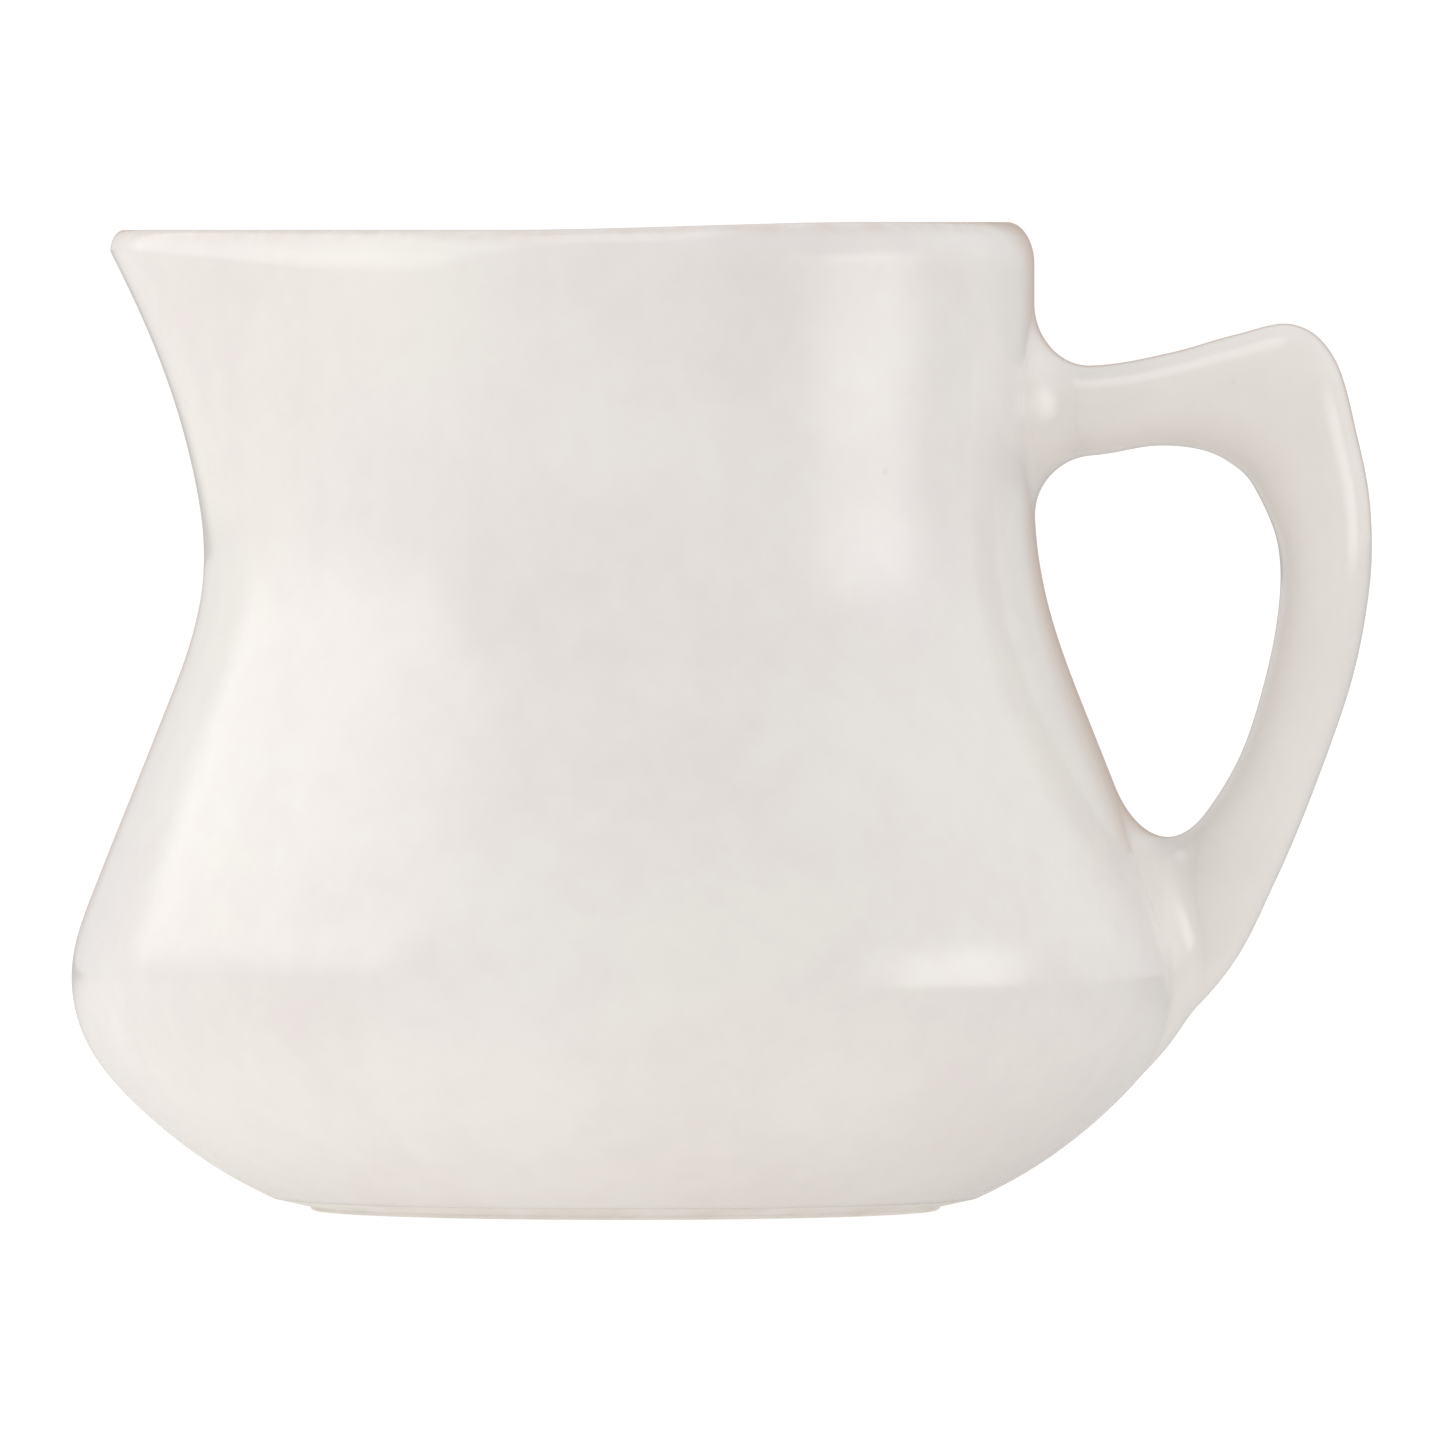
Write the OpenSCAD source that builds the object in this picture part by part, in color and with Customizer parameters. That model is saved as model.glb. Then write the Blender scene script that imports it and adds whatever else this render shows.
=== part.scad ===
// Small heavy ceramic pitcher: a squat round-bellied body with a spout pulled
// from its rim, and a loop handle luted on at the back with joining slip.
// Frame: origin at the centre of the foot on the table, +Z up, the handle
// towards +X and the spout towards -X. Millimetres.

/* [Body] */
// Height of the lip at the back, above the table
rim_z = 98.8; // [85:0.1:120]
// Radius of the belly at its widest
belly_r = 55.5; // [46:0.1:67]
// Height of the widest part of the belly
belly_z = 23.2; // [19:0.1:28]
// Radius of the tight curve around the belly
belly_curve_r = 14.7; // [10:0.1:18]
// Radius of the flatter curve under the belly
under_curve_r = 49; // [40:0.5:60]
// Slope of the sides from the belly up to the neck, in degrees from upright
taper_deg = 21.7; // [18:0.1:26]
// Radius of the hollow curve where the sides turn into the neck
waist_curve_r = 46; // [30:0.5:60]
// Radius of the neck
neck_r = 41.2; // [34:0.1:50]
// How far the neck stands towards the spout from the foot's centre
neck_lean = 0.3; // [0:0.1:1.5]
// Thickness of the wall
wall_t = 5.5; // [4.5:0.1:6.5]
// Thickness of the floor
floor_t = 6; // [4:0.1:8]
// How far the round corner inside the floor reaches each way
heel = 7; // [4:0.5:9]
// Height of the rounding over the lip
lip_h = 4.2; // [3:0.1:5]

/* [Foot] */
// Radius of the foot where it meets the table
foot_r = 31.5; // [26:0.1:38]
// Height of the bare foot ring
foot_h = 1.2; // [0.8:0.1:2]
// How much wider the foot ring is at its top than at the table
foot_flare = 3.7; // [2:0.1:5]
// Width of the foot ring's flat face
foot_w = 5; // [3:0.1:8]
// Radius of the foot ring's worn edges
foot_edge_r = 0.4; // [0.1:0.1:0.6]

/* [Spout] */
// How far the spout stands out from the neck at the lip
spout_reach = 11.5; // [8:0.1:14]
// How far below the lip the spout starts to swell
spout_drop = 38; // [30:0.5:46]
// Half of the spout's width around the lip, in degrees
spout_half_deg = 52; // [40:1:62]
// How much lower the lip is at the spout than at the back
spout_dip = 0.8; // [0:0.1:2]
// Thickness of the wall at the spout's tip
spout_tip_t = 2.8; // [2:0.1:4]

/* [Handle] */
// How far the handle stands out beyond the belly
handle_overhang = 19.1; // [16:0.1:23]
// Drop from the back lip to the middle of the handle's upper arm at the neck
arm_drop = 19; // [16:0.1:23]
// Height of the middle of the handle's lower end
lower_end_z = 22; // [19:0.1:25]
// Width of the handle across the pitcher
handle_w = 12; // [10:0.1:14]
// Thickness of the handle's upper arm, on which its other thicknesses are based
handle_t = 8.8; // [7:0.1:10]
// Reach of the slip fillet above and below the handle's upper end
upper_fillet = 6; // [4:0.1:7]
// Reach of the slip fillet in the crotch over the handle's lower end
lower_fillet = 9.3; // [7:0.1:10]
// Reach of both slip fillets at the handle's sides
side_fillet = 4.5; // [3:0.1:6]
// How far the slip's face stands proud of a plain hollow curve
slip_proud = 0.3; // [0.2:0.05:0.6]

/* [Hidden] */
eps = 0.001;

// Tessellation: steps around the body, along each curve of its wall, and of the handle
around = 72;
lip_steps = 6;
heel_steps = 5;
handle_rings = 56;
handle_sides = 24;
fillet_sections = 36;
fillet_steps = 5;
root_search = 18;

// Wall outline: an arc under the belly, an arc round it, a straight side, a hollow arc
// and an upright neck, each tangent to the next. Angles are of the outward normal.
foot_top_r = foot_r + foot_flare;
belly_c = [belly_r - belly_curve_r, belly_z];
foot_vec = [foot_top_r, foot_h] - belly_c;
arc_gap = under_curve_r - belly_curve_r;
foot_along = (pow(under_curve_r, 2) - pow(arc_gap, 2) - foot_vec * foot_vec) / (2 * arc_gap);
under_deg = atan2(foot_vec.y, foot_vec.x) + acos(foot_along / norm(foot_vec));
under_c = belly_c - arc_gap * [cos(under_deg), sin(under_deg)];
side_start = belly_c + belly_curve_r * [cos(taper_deg), sin(taper_deg)];
waist_in = neck_r + waist_curve_r * (1 - cos(taper_deg));
waist_z = side_start.y + (side_start.x - waist_in) / tan(taper_deg) + waist_curve_r * sin(taper_deg);

// Radius of the wall's outline at height z, at depth d under its outer surface
function side_r(z, d = 0) =
    z < belly_z + (belly_curve_r - d) * sin(under_deg)
        ? under_c.x + sqrt(pow(under_curve_r - d, 2) - pow(z - under_c.y, 2))
    : z < belly_z + (belly_curve_r - d) * sin(taper_deg)
        ? belly_c.x + sqrt(pow(belly_curve_r - d, 2) - pow(z - belly_z, 2))
    : z < waist_z - (waist_curve_r + d) * sin(taper_deg)
        ? side_start.x - d * cos(taper_deg) - (z - side_start.y + d * sin(taper_deg)) * tan(taper_deg)
    : z < waist_z
        ? neck_r + waist_curve_r - sqrt(pow(waist_curve_r + d, 2) - pow(waist_z - z, 2))
    : neck_r - d;

// Smooth rise from 0 to 1 between two heights
function rise(z, z0, z1) = let (t = min(1, max(0, (z - z0) / (z1 - z0)))) t * t * (3 - 2 * t);
function lean(z) = neck_lean * rise(z, waist_low_z, waist_z);

// Share of the spout's height, width and fullness reached at height z and at angle a from it
spout_z0 = rim_z - spout_drop;
function spout_share(z) = min(1, max(0, (z - spout_z0) / spout_drop));
function spout_half(z) = spout_half_deg * (0.62 + 0.38 * spout_share(z));
function from_spout(a) = abs(180 - a);
function spout_round(a, z) =
    from_spout(a) > spout_half(z) ? 0 : pow(0.5 + 0.5 * cos(180 * from_spout(a) / spout_half(z)), 1.15);
function spout_out(a, z) = spout_reach * pow(spout_share(z), 1.75) * spout_round(a, z);

// Height of the lip's top and thickness of the wall at angle a
function lip_z(a) = rim_z - spout_dip * rise(from_spout(a), 130, 70);
function wall_at(a, z) = wall_t - (wall_t - spout_tip_t) * spout_share(z) * spout_round(a, z);
function lip_h_at(a) = lip_h * wall_at(a, rim_z) / wall_t;

// A point of the wall at angle a, height z and depth d under the outer surface
function wall_point(a, z, d = 0) =
    let (r = side_r(z, d) + spout_out(a, z)) [r * cos(a) - lean(z), r * sin(a), z];

// Rows of the wall: heights up the outside, round over the lip, and down the inside
floor_z = foot_h + floor_t;
function spread(z0, z1, n) = [for (i = [0:n - 1]) z0 + (z1 - z0) * i / n];
belly_low_z = belly_z + belly_curve_r * sin(under_deg);
waist_low_z = waist_z - waist_curve_r * sin(taper_deg);
body_top = rim_z - lip_h;
outside_rows = concat(
    spread(foot_h, belly_low_z, 4), spread(belly_low_z, side_start.y, 8),
    spread(side_start.y, waist_low_z, 3), spread(waist_low_z, waist_z, 5),
    spread(waist_z, body_top, 9), [body_top]);
inside_rows = concat(
    spread(body_top, waist_z, 7), spread(waist_z, waist_low_z, 4),
    spread(waist_low_z, side_start.y, 2), spread(side_start.y, floor_z + heel, 8));
// The heights near the lip follow its dip at the spout
function row_z(a, z) = z + (lip_z(a) - lip_h_at(a) - body_top) * rise(z, spout_z0, body_top);

function outside_ring(z) = [for (i = [0:around - 1]) let (a = 360 * i / around)
    wall_point(a, row_z(a, z))];
function inside_ring(z) = [for (i = [0:around - 1]) let (a = 360 * i / around)
    wall_point(a, row_z(a, z), wall_at(a, z))];
// The lip is half an ellipse over the wall, at angle b from its outer edge
function lip_ring(b) = [for (i = [0:around - 1]) let (
        a = 360 * i / around, t = wall_at(a, rim_z), top = lip_z(a) - lip_h_at(a),
        edge = wall_point(a, top, t * (1 - cos(b)) / 2))
    [edge.x, edge.y, top + lip_h_at(a) * sin(b)]];

// The corner inside the floor is a curve from the wall, t = 0, to the flat of the floor, t = 1
heel_start = [side_r(floor_z + heel, wall_t), floor_z + heel];
heel_end = [side_r(floor_z, wall_t) - heel, floor_z];
heel_slope = (side_r(floor_z + heel, wall_t) - side_r(floor_z + heel - eps, wall_t)) / eps;
heel_corner = [heel_start.x - heel * heel_slope, floor_z];
function heel_ring(t) = [for (i = [0:around - 1]) let (a = 360 * i / around,
        p = (1 - t) * (1 - t) * heel_start + 2 * t * (1 - t) * heel_corner + t * t * heel_end)
    [p.x * cos(a), p.x * sin(a), p.y]];

// A closed skin over rings of equal length: strips between rings, and a fan onto each end point
function strips(rings, n) = [for (k = [0:rings - 2]) for (i = [0:n - 1]) let (j = (i + 1) % n)
    each [[k * n + i, (k + 1) * n + i, k * n + j], [k * n + j, (k + 1) * n + i, (k + 1) * n + j]]];
function fans(rings, n) = concat(
    [for (i = [0:n - 1]) [rings * n, i, (i + 1) % n]],
    [for (i = [0:n - 1]) let (k = (rings - 1) * n) [k + i, rings * n + 1, k + (i + 1) % n]]);
module skin(rings, start, end) {
    n = len(rings[0]);
    points = concat([for (ring = rings) each ring], [start, end]);
    polyhedron(points, concat(strips(len(rings), n), fans(len(rings), n)), convexity = 6);
}

module body() {
    lip = [for (i = [1:lip_steps - 1]) lip_ring(180 * i / lip_steps)];
    corner = [for (i = [0:heel_steps]) heel_ring(i / heel_steps)];
    outside = [for (z = outside_rows) outside_ring(z)];
    inside = [for (z = inside_rows) inside_ring(z)];
    rings = concat(outside, lip, inside, corner);
    color("#e6e1da") skin(rings, [0, 0, foot_h], [0, 0, floor_z]);
}

// Turned ring with a flat face to stand on and worn edges
module foot_ring() {
    inner_r = foot_r - foot_w;
    edge = [for (b = [0:30:90]) foot_edge_r * [sin(b), 1 - cos(b)]];
    outer = [for (p = edge) [foot_r - foot_edge_r + p.x, p.y]];
    inner = [for (p = edge) [inner_r + foot_edge_r - p.x, p.y]];
    top = [[foot_top_r, foot_h], [inner_r, foot_h]];
    color("#d8cfc2") rotate_extrude($fn = 144)
        polygon(concat(outer, top, [for (i = [len(inner) - 1:-1:0]) inner[i]]));
}

// Handle course, from inside the neck to inside the belly. Each row is a section through it:
// share of the way out from the wall to the handle's reach, share of the way up from its lower
// end to its upper arm, thickness as a share of the upper arm's, and slant in degrees from level
handle_reach = belly_r + handle_overhang;
arm_z = rim_z - arm_drop;
COURSE = [
    [-0.086, 1.002, 1.14, 90], [0.18, 1.003, 1.02, 90], [0.38, 1.022, 1.07, 81],
    [0.545, 1.034, 1.36, 74], [0.676, 1.031, 1.73, 66], [0.766, 0.986, 1.71, 57],
    [0.829, 0.884, 1.36, 43], [0.86, 0.795, 1.14, 24], [0.856, 0.69, 1.02, 4],
    [0.796, 0.549, 0.96, -12], [0.642, 0.379, 0.92, -22], [0.402, 0.233, 1.1, -34],
    [0.055, 0.1, 1.36, -43], [-0.375, -0.038, 1.5, -65]];
function wall_x(y, z) = sqrt(pow(side_r(z), 2) - y * y) - lean(z);
knots = [for (c = COURSE) let (z = lower_end_z + c[1] * (arm_z - lower_end_z), x = wall_x(0, z))
    [x + c[0] * (handle_reach - x), z, c[2] * handle_t, c[3]]];
last = len(knots) - 1;
function knot(i) = i < 0 ? 2 * knots[0] - knots[1] : i > last ? 2 * knots[last] - knots[last - 1] : knots[i];

// Smooth curve through the knots, s counts knots: middle x, middle z, thickness and slant
function course(s) = let (i = min(last - 1, max(0, floor(s))), t = s - i,
    a = knot(i - 1), b = knot(i), c = knot(i + 1), d = knot(i + 2))
    (2 * b + (c - a) * t + (2 * a - 5 * b + 4 * c - d) * t * t + (3 * b - 3 * c + d - a) * t * t * t) / 2;

// Oval section, fuller than an ellipse: a point at angle b around it, at s along the course
squareness = 2.4;
function full(v) = sign(v) * pow(abs(v), 2 / squareness);
function handle_point(b, s) = let (c = course(s), off = c.z / 2 * full(cos(b)))
    [c.x + off * cos(c[3]), -handle_w / 2 * full(sin(b)), c.y + off * sin(c[3])];
// Where the line at angle b meets the wall, between s_in inside it and s_out clear of it
function meets_wall(b, s_in, s_out, n = root_search) =
    let (m = (s_in + s_out) / 2, p = handle_point(b, m))
    n == 0 ? m : p.x > wall_x(p.y, p.z) ? meets_wall(b, s_in, m, n - 1) : meets_wall(b, m, s_out, n - 1);
function upper_end(b) = meets_wall(b, 0, 1);
function lower_end(b) = meets_wall(b, last, last - 2);

function handle_ring(k) = let (
        u = k / handle_rings, s0 = upper_end(90), s1 = lower_end(90),
        near = pow(max(0, 1 - u / 0.3), 2), far = pow(max(0, (u - 0.55) / 0.45), 2))
    [for (i = [0:handle_sides - 1]) let (b = 360 * i / handle_sides)
        handle_point(b, s0 + (s1 - s0) * u + (upper_end(b) - s0) * near + (lower_end(b) - s1) * far)];
// The ends lie against the wall: a ring shrunk towards its middle, laid on the wall
function middle(ring) = [for (p = ring) 1] * ring / len(ring);
function on_wall(p) = [wall_x(p.y, p.z), p.y, p.z];
function end_ring(ring, share) = let (m = middle(ring)) [for (p = ring) on_wall(m + share * (p - m))];

module handle() {
    rings = [for (k = [0:handle_rings]) handle_ring(k)];
    first = rings[0];
    final = rings[handle_rings];
    color("#e3ddd6") skin(
        concat([end_ring(first, 0.5)], rings, [end_ring(final, 0.5)]),
        on_wall(middle(first)), on_wall(middle(final)));
}

// Joining slip, sponged to a hollow fillet around one end of the handle. Its section at angle b
// has a corner where handle and wall meet, one leg up the wall and one along the handle
function wall_normal(p) = let (
        n = [1, (wall_x(p.y - eps, p.z) - wall_x(p.y + eps, p.z)) / (2 * eps),
            (wall_x(p.y, p.z - eps) - wall_x(p.y, p.z + eps)) / (2 * eps)])
    n / norm(n);
function fillet_reach(b, upper) = upper ? side_fillet + (upper_fillet - side_fillet) * pow(cos(b), 2)
    : side_fillet + (lower_fillet - side_fillet) * pow(max(0, -cos(b)), 2);
function fillet_section(b, s, mid, size, reach, way) = let (
        c = handle_point(b, s), step = handle_point(b, s + way * eps * 10) - c,
        h = handle_point(b, s + way * eps * 10 * reach / norm(step)),
        n = [0, (c.y - mid.y) / pow(size.x, 2), (c.z - mid.z) / pow(size.y, 2)],
        away = n / norm(n), half = on_wall(c + reach / 2 * away), foot = on_wall(c + reach * away),
        open = wall_normal(c) + away, proud = 4 * slip_proud * open / norm(open))
    concat([c, half], [for (i = [0:fillet_steps]) let (t = i / fillet_steps)
        (1 - t) * (1 - t) * foot + 2 * t * (1 - t) * c + t * t * h + t * (1 - t) * proud]);
module fillet(upper) {
    way = upper ? 1 : -1;
    ends = [for (i = [0:fillet_sections - 1]) let (b = 360 * i / fillet_sections)
        [b, upper ? upper_end(b) : lower_end(b)]];
    seam = [for (e = ends) handle_point(e[0], e[1])];
    mid = middle(seam);
    size = [max([for (p = seam) p.y]), (max([for (p = seam) p.z]) - min([for (p = seam) p.z])) / 2];
    sections = [for (e = ends) fillet_section(e[0], e[1], mid, size, fillet_reach(e[0], upper), way)];
    m = len(sections[0]);
    n = fillet_sections;
    faces = [for (k = [0:n - 1]) for (i = [0:m - 1]) let (j = (i + 1) % m, q = (k + 1) % n)
        each (upper ? [[k * m + i, k * m + j, q * m + i], [k * m + j, q * m + j, q * m + i]]
            : [[k * m + i, q * m + i, k * m + j], [k * m + j, q * m + i, q * m + j]])];
    polyhedron([for (section = sections) each section], faces, convexity = 6);
}
module upper_joint_slip() { color("#efebe4") fillet(true); }
module lower_joint_slip() { color("#efebe4") fillet(false); }

body();
foot_ring();
handle();
upper_joint_slip();
lower_joint_slip();
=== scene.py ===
"""Looks of a small glazed ceramic pitcher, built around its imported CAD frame.

The vessel, the handle, the two joins of slip and the bare foot ring are fine
surfaces of the same outlines as the CAD solids. Shapes are worked out in
millimetres, with the foot's centre at the origin, and meshes are in metres.
"""

import logging
import math
from dataclasses import dataclass, field
from enum import Enum
from typing import Any

import bpy
import numpy as np
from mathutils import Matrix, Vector


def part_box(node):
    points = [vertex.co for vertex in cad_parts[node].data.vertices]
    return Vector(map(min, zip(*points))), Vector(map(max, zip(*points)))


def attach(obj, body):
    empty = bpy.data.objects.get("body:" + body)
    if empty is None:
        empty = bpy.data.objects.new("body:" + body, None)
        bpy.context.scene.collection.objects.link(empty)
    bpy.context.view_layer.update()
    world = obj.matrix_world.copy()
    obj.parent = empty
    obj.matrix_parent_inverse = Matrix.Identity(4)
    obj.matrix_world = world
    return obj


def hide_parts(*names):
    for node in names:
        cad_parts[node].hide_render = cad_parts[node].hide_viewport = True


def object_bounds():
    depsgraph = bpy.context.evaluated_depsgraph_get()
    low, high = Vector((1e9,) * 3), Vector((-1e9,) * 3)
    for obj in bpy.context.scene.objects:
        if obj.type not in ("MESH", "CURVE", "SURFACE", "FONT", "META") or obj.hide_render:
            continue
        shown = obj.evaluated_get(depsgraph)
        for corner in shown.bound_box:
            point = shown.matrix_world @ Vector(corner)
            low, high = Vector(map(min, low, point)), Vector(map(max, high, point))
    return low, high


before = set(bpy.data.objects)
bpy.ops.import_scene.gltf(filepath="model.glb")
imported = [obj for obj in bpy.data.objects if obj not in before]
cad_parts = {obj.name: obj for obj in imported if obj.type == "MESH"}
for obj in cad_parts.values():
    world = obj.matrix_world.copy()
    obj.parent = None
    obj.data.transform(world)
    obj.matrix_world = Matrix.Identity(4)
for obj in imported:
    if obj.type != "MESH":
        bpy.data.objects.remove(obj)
CAD_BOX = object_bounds()

MM = 0.001
LOG = logging.getLogger("pitcher")


class Slot(Enum):
    """Names of the record's material slots for the glazed body, handle and slip, and the bare foot."""

    BODY = "glazed_body"
    HANDLE = "glazed_handle"
    SLIP = "glazed_slip"
    FOOT = "bare_foot"


# ---------------------------------------------------------------- small maths


def rise(value: np.ndarray, low: float, high: float) -> np.ndarray:
    """Smooth step from 0 at low to 1 at high: 3t^2 - 2t^3.

    Args:
        value: Where to take the step's height.
        low: Value at which the step starts.
        high: Value at which the step ends, which may be under low.

    Returns:
        The step's height, from 0 to 1.
    """
    t = np.clip((value - low) / (high - low), 0.0, 1.0)
    return t * t * (3.0 - 2.0 * t)


def bend(start: np.ndarray, corner: np.ndarray, end: np.ndarray, t: np.ndarray) -> np.ndarray:
    """Quadratic curve from start to end, tangent to both legs of its corner.

    Args:
        start: First point, or an array of them.
        corner: Point where the two legs meet.
        end: Last point.
        t: Share of the way along the curve.

    Returns:
        Points (1-t)^2 start + 2t(1-t) corner + t^2 end.
    """
    return (1 - t) ** 2 * start + 2 * t * (1 - t) * corner + t**2 * end


def flowing(
    start: np.ndarray, start_leg: np.ndarray, end: np.ndarray, end_leg: np.ndarray, t: np.ndarray
) -> np.ndarray:
    """Cubic curve from start to end that leaves each of them along a leg of its own.

    Args:
        start: First points.
        start_leg: From each first point towards the corner.
        end: Last points.
        end_leg: From each last point towards the corner.
        t: Share of the way along the curve.

    Returns:
        Points of the curve, whose handles are two thirds of the legs.
    """
    near, far = start + start_leg * (2 / 3), end + end_leg * (2 / 3)
    return (1 - t) ** 3 * start + 3 * t * (1 - t) ** 2 * near + 3 * t**2 * (1 - t) * far + t**3 * end


def laid_on(legs: np.ndarray, normals: np.ndarray) -> np.ndarray:
    """Legs turned into the planes square to the normals."""
    return legs - (legs * normals).sum(axis=-1, keepdims=True) * normals


def unit(vectors: np.ndarray) -> np.ndarray:
    """Vectors scaled to length 1 along their last axis."""
    return vectors / np.linalg.norm(vectors, axis=-1, keepdims=True)


# ---------------------------------------------------------------- mesh making


def carried_round(radius: np.ndarray, height: np.ndarray, angle: np.ndarray) -> np.ndarray:
    """Rings around the axis: (r cos a, r sin a, h).

    Args:
        radius: Radii, as a column.
        height: Heights, as a column.
        angle: Angles, as a row.

    Returns:
        Points in rows, with three coordinates in a last axis.
    """
    return np.stack(np.broadcast_arrays(radius * np.cos(angle), radius * np.sin(angle), height), axis=-1)


def strip_quads(rows: int, columns: int, ring_of_rows: bool = False) -> np.ndarray:
    """Quads between neighbouring rows of a grid whose rows are closed rings.

    Args:
        rows: Number of rows in the grid.
        columns: Number of points in each row.
        ring_of_rows: Whether the last row joins the first.

    Returns:
        Vertex numbers, four to a face.
    """
    row = np.arange(rows if ring_of_rows else rows - 1)[:, None]
    column = np.arange(columns)[None, :]
    after, beside = (row + 1) % rows, (column + 1) % columns
    corners = [
        row * columns + column,
        after * columns + column,
        after * columns + beside,
        row * columns + beside,
    ]
    return np.stack(np.broadcast_arrays(*corners), axis=-1).reshape(-1, 4)


def fan_triangles(first: int, columns: int, centre: int, reverse: bool) -> np.ndarray:
    """Triangles that close a ring of vertices onto one centre vertex.

    Args:
        first: Number of the ring's first vertex.
        columns: Number of vertices in the ring.
        centre: Number of the centre vertex.
        reverse: Whether to turn the faces the other way.

    Returns:
        Vertex numbers, three to a face.
    """
    here = first + np.arange(columns)
    beside = first + (np.arange(columns) + 1) % columns
    fan = np.stack([np.full(columns, centre), here, beside], axis=-1)
    return fan[:, ::-1] if reverse else fan


def end_fans(count: int, columns: int) -> np.ndarray:
    """Fans that close the first and last rings of a grid onto the two vertices that follow it.

    Args:
        count: Number of vertices in the grid.
        columns: Number of vertices in each ring.

    Returns:
        Vertex numbers, three to a face.
    """
    first = fan_triangles(0, columns, count, reverse=False)
    last = fan_triangles(count - columns, columns, count + 1, reverse=True)
    return np.concatenate([first, last])


@dataclass
class Surface:
    """A closed surface in millimetres that becomes one mesh object."""

    name: str
    points: np.ndarray
    quads: np.ndarray
    triangles: np.ndarray = field(default_factory=lambda: np.zeros((0, 3), int))
    masks: dict[str, np.ndarray] = field(default_factory=dict)
    sharp_deg: float = 60.0
    # Normals to shade with, where a row isn't all zeros
    normals: np.ndarray | None = None

    def turned_out(self) -> bool:
        """Whether the faces point outwards, by the sign of the volume under them.

        Returns:
            True where the sum of the corners' triple products is above 0.
        """
        split = [self.quads[:, :3], self.quads[:, [0, 2, 3]], self.triangles]
        corners = self.points[np.concatenate(split)]
        volume = np.einsum("ij,ij->i", corners[:, 0], np.cross(corners[:, 1], corners[:, 2])).sum()
        return bool(volume > 0)

    def build(self) -> bpy.types.Object:
        """Makes the mesh object, smooth shaded, with its masks as point attributes.

        Returns:
            The new object, linked to the scene.
        """
        way = 1 if self.turned_out() else -1
        quads, triangles = self.quads[:, ::way], self.triangles[:, ::way]
        mesh = bpy.data.meshes.new(self.name)
        mesh.vertices.add(len(self.points))
        mesh.vertices.foreach_set("co", (self.points * MM).astype(np.float32).ravel())
        loops = np.concatenate([quads.ravel(), triangles.ravel()])
        sizes = np.concatenate([np.full(len(quads), 4), np.full(len(triangles), 3)])
        starts = np.concatenate([[0], np.cumsum(sizes)[:-1]])
        mesh.loops.add(len(loops))
        mesh.loops.foreach_set("vertex_index", loops.astype(np.int32))
        mesh.polygons.add(len(sizes))
        mesh.polygons.foreach_set("loop_start", starts.astype(np.int32))
        mesh.polygons.foreach_set("use_smooth", np.ones(len(sizes), bool))
        for mask, values in self.masks.items():
            layer = mesh.attributes.new(mask, "FLOAT", "POINT")
            layer.data.foreach_set("value", values.astype(np.float32).ravel())
        mesh.update(calc_edges=True)
        mesh.validate()
        mesh.set_sharp_from_angle(angle=math.radians(self.sharp_deg))
        if self.normals is not None:
            mesh.normals_split_custom_set_from_vertices(self.normals.tolist())
        made = bpy.data.objects.new(self.name, mesh)
        bpy.context.scene.collection.objects.link(made)
        return made


# ---------------------------------------------------------------- the vessel's outline


def node_top(node: str) -> Vector:
    """Highest corner of a CAD node, in millimetres."""
    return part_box(node)[1] / MM


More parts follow.
